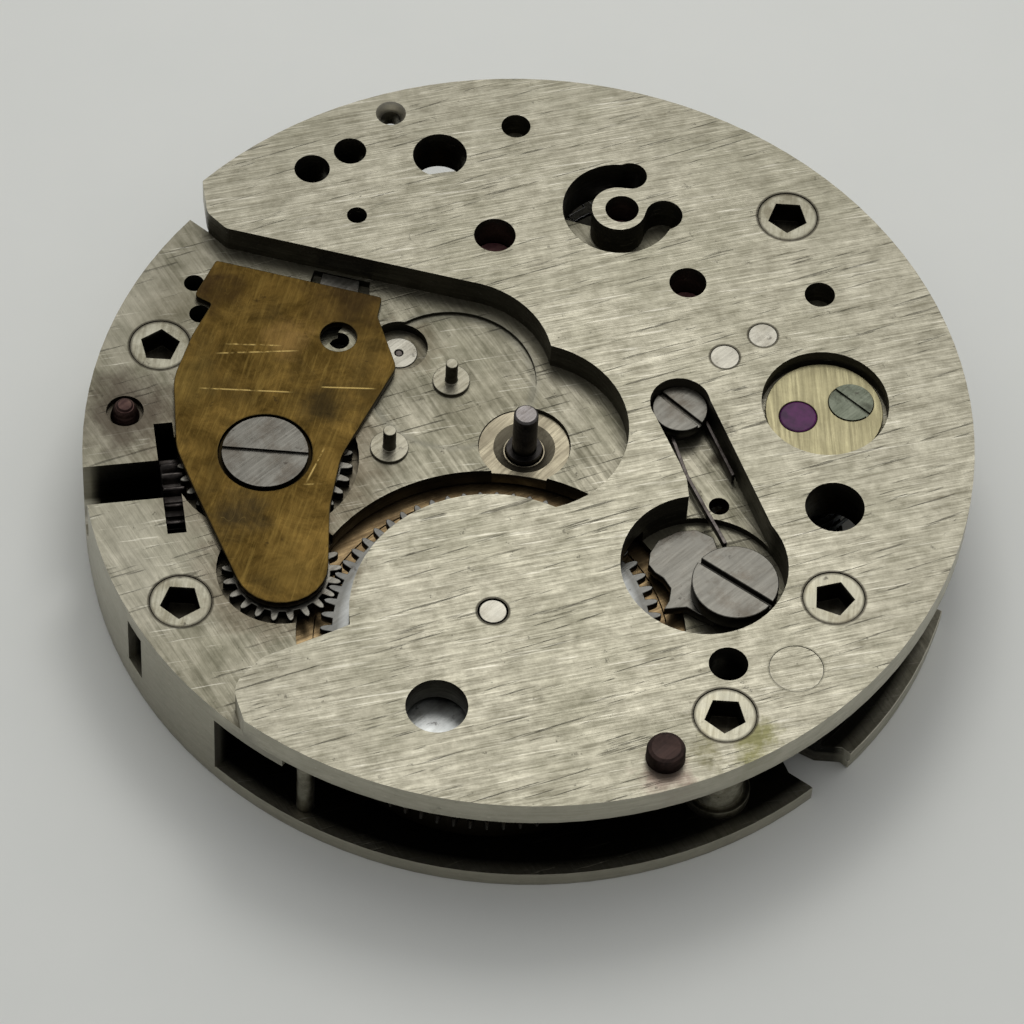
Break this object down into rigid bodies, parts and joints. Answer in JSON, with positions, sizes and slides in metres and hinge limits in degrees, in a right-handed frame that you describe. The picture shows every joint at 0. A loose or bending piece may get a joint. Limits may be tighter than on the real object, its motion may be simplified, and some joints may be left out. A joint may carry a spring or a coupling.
{
  "type": "watch movement",
  "caption": "Hand-wound mechanical watch movement with its train, lever escapement, balance and winding work between two round plates, seen from the dial side",
  "frame": {"origin": "on the centre of the main plate, in the outer face of the back plate, on which the movement lies", "axes": "+Z points to the dial side, +X to the winding stem at three o'clock, +Y to twelve o'clock"},
  "size_m": [0.0258, 0.026, 0.0051],
  "materials": {
    "nickel_plate": "brushed nickel-plated brass with fine scratches",
    "old_brass": "aged brushed brass, brown toned",
    "gilt_brass": "gilt brass, finely grained",
    "pale_brass": "pale brushed brass",
    "grey_steel": "grey steel, lightly brushed",
    "dark_steel": "dark oiled steel",
    "polished_steel": "polished steel",
    "stud_nickel": "turned nickel-plated brass",
    "rust_steel": "brown tarnished steel",
    "ruby": "polished synthetic ruby",
    "spring_steel": "tempered spring steel"
  },
  "bodies": {
    "movement_frame": {"main_plate": "nickel_plate", "back_plate": "nickel_plate", "balance_cock": "nickel_plate", "plate_studs": "stud_nickel", "back_screws": "grey_steel", "cock_screw": "grey_steel", "steady_pins": "nickel_plate", "keyless_cover": "old_brass", "cover_screw": "grey_steel", "yoke_spring": "spring_steel", "minute_post": "grey_steel", "setting_post": "grey_steel", "dial_foot_screw": "rust_steel", "locating_stud": "dark_steel", "plate_plug": "nickel_plate", "banking_pins": "nickel_plate", "centre_bush": "pale_brass", "third_bush": "pale_brass", "plate_jewels": "ruby", "back_bushes": "gilt_brass", "back_jewels": "ruby", "balance_jewels": "ruby", "cap_plate": "pale_brass", "cap_jewel": "ruby", "cap_screw": "grey_steel", "click_screw": "grey_steel", "click_spring": "spring_steel", "click_spring_screw": "grey_steel", "hairspring": "spring_steel", "hairspring_stud": "grey_steel"},
    "barrel": {"barrel_drum": "gilt_brass", "barrel_lid": "gilt_brass", "mainspring": "spring_steel"},
    "ratchet": {"ratchet_wheel": "grey_steel", "barrel_arbor": "grey_steel"},
    "intermediate": {"intermediate_wheel": "dark_steel"},
    "crown": {"crown_wheel": "dark_steel"},
    "winding": {"winding_pinion": "dark_steel"},
    "sliding": {"sliding_pinion": "dark_steel"},
    "yoke": {"yoke": "grey_steel"},
    "click": {"click": "grey_steel"},
    "centre": {"centre_wheel": "gilt_brass", "centre_arbor": "grey_steel"},
    "third": {"third_wheel": "gilt_brass", "third_pinion": "polished_steel"},
    "fourth": {"fourth_wheel": "gilt_brass", "fourth_pinion": "polished_steel"},
    "escape": {"escape_wheel": "polished_steel", "escape_pinion": "polished_steel"},
    "pallets": {"pallet_fork": "polished_steel", "pallet_stones": "ruby", "pallet_staff": "polished_steel"},
    "balance": {"balance_wheel": "gilt_brass", "balance_staff": "polished_steel", "hairspring_collet": "gilt_brass", "roller": "polished_steel", "impulse_pin": "ruby"},
    "regulator": {"regulator": "grey_steel"}
  },
  "joints": [
    {"name": "fourth_turn", "type": "hinge", "parent": "movement_frame", "child": "fourth", "pos_m": [-0.00009, -0.00702, 0.0014], "axis": [0, 0, 1], "continuous": true},
    {"name": "third_turn", "type": "hinge", "parent": "movement_frame", "child": "third", "pos_m": [0.00314, -0.00403, 0.0026], "axis": [0, 0, 1], "continuous": true},
    {"name": "centre_turn", "type": "hinge", "parent": "movement_frame", "child": "centre", "pos_m": [0, 0, 0.002], "axis": [0, 0, 1], "continuous": true},
    {"name": "barrel_turn", "type": "hinge", "parent": "movement_frame", "child": "barrel", "pos_m": [0.00184, 0.00632, 0.002], "axis": [0, 0, 1], "continuous": true},
    {"name": "escape_turn", "type": "hinge", "parent": "movement_frame", "child": "escape", "pos_m": [-0.00399, -0.00757, 0.0021], "axis": [0, 0, 1], "continuous": true},
    {"name": "ratchet_turn", "type": "hinge", "parent": "movement_frame", "child": "ratchet", "pos_m": [0.00184, 0.00632, 0.0033], "axis": [0, 0, 1], "continuous": true},
    {"name": "intermediate_turn", "type": "hinge", "parent": "movement_frame", "child": "intermediate", "pos_m": [0.0075, 0.00356, 0.0033], "axis": [0, 0, 1], "continuous": true},
    {"name": "crown_turn", "type": "hinge", "parent": "movement_frame", "child": "crown", "pos_m": [0.00752, -0.00042, 0.0033], "axis": [0, 0, 1], "continuous": true},
    {"name": "winding_turn", "type": "hinge", "parent": "movement_frame", "child": "winding", "pos_m": [0.0102, 0, 0.00205], "axis": [1, 0, 0], "continuous": true},
    {"name": "click_turn", "type": "hinge", "parent": "movement_frame", "child": "click", "pos_m": [-0.00522, 0.00581, 0.00335], "axis": [0, 0, 1], "range_deg": [-8, 0], "stiffness_Nm_per_rad": 0.0000002, "springref_deg": 2.86, "deforming": ["click_spring"]},
    {"name": "pallets_rock", "type": "hinge", "parent": "movement_frame", "child": "pallets", "pos_m": [-0.0055, -0.00461, 0.0021], "axis": [0, 0, 1], "range_deg": [-5, 5]},
    {"name": "balance_swing", "type": "hinge", "parent": "movement_frame", "child": "balance", "pos_m": [-0.00798, 0.00031, 0.0014], "axis": [0, 0, 1], "range_deg": [-305, 235], "stiffness_Nm_per_rad": 0.000000204, "springref_deg": -35, "deforming": ["hairspring"]},
    {"name": "regulator_set", "type": "hinge", "parent": "movement_frame", "child": "regulator", "pos_m": [-0.00798, 0.00031, 0.0001], "axis": [0, 0, 1], "range_deg": [-12, 12]},
    {"name": "yoke_rock", "type": "hinge", "parent": "movement_frame", "child": "yoke", "pos_m": [0.0079, -0.005, 0.0033], "axis": [0, 0, 1], "range_deg": [0, 5.6], "stiffness_Nm_per_rad": 0.0000002, "springref_deg": -2.86, "deforming": ["yoke_spring"]},
    {"name": "sliding_pinion_shift", "type": "slide", "parent": "movement_frame", "child": "sliding", "axis": [-1, 0, 0], "range_m": [0, 0.0004]}
  ],
  "couplings": [
    {"joint": "third_turn", "follows": "fourth_turn", "ratio": -0.13333},
    {"joint": "centre_turn", "follows": "fourth_turn", "ratio": 0.016667},
    {"joint": "barrel_turn", "follows": "fourth_turn", "ratio": -0.0020833},
    {"joint": "escape_turn", "follows": "fourth_turn", "ratio": -10},
    {"joint": "intermediate_turn", "follows": "ratchet_turn", "ratio": -3},
    {"joint": "crown_turn", "follows": "ratchet_turn", "ratio": 1.9688},
    {"joint": "winding_turn", "follows": "ratchet_turn", "ratio": -3.7059},
    {"joint": "yoke_rock", "follows": "sliding_pinion_shift", "rad_per_m": 244.35}
  ]
}
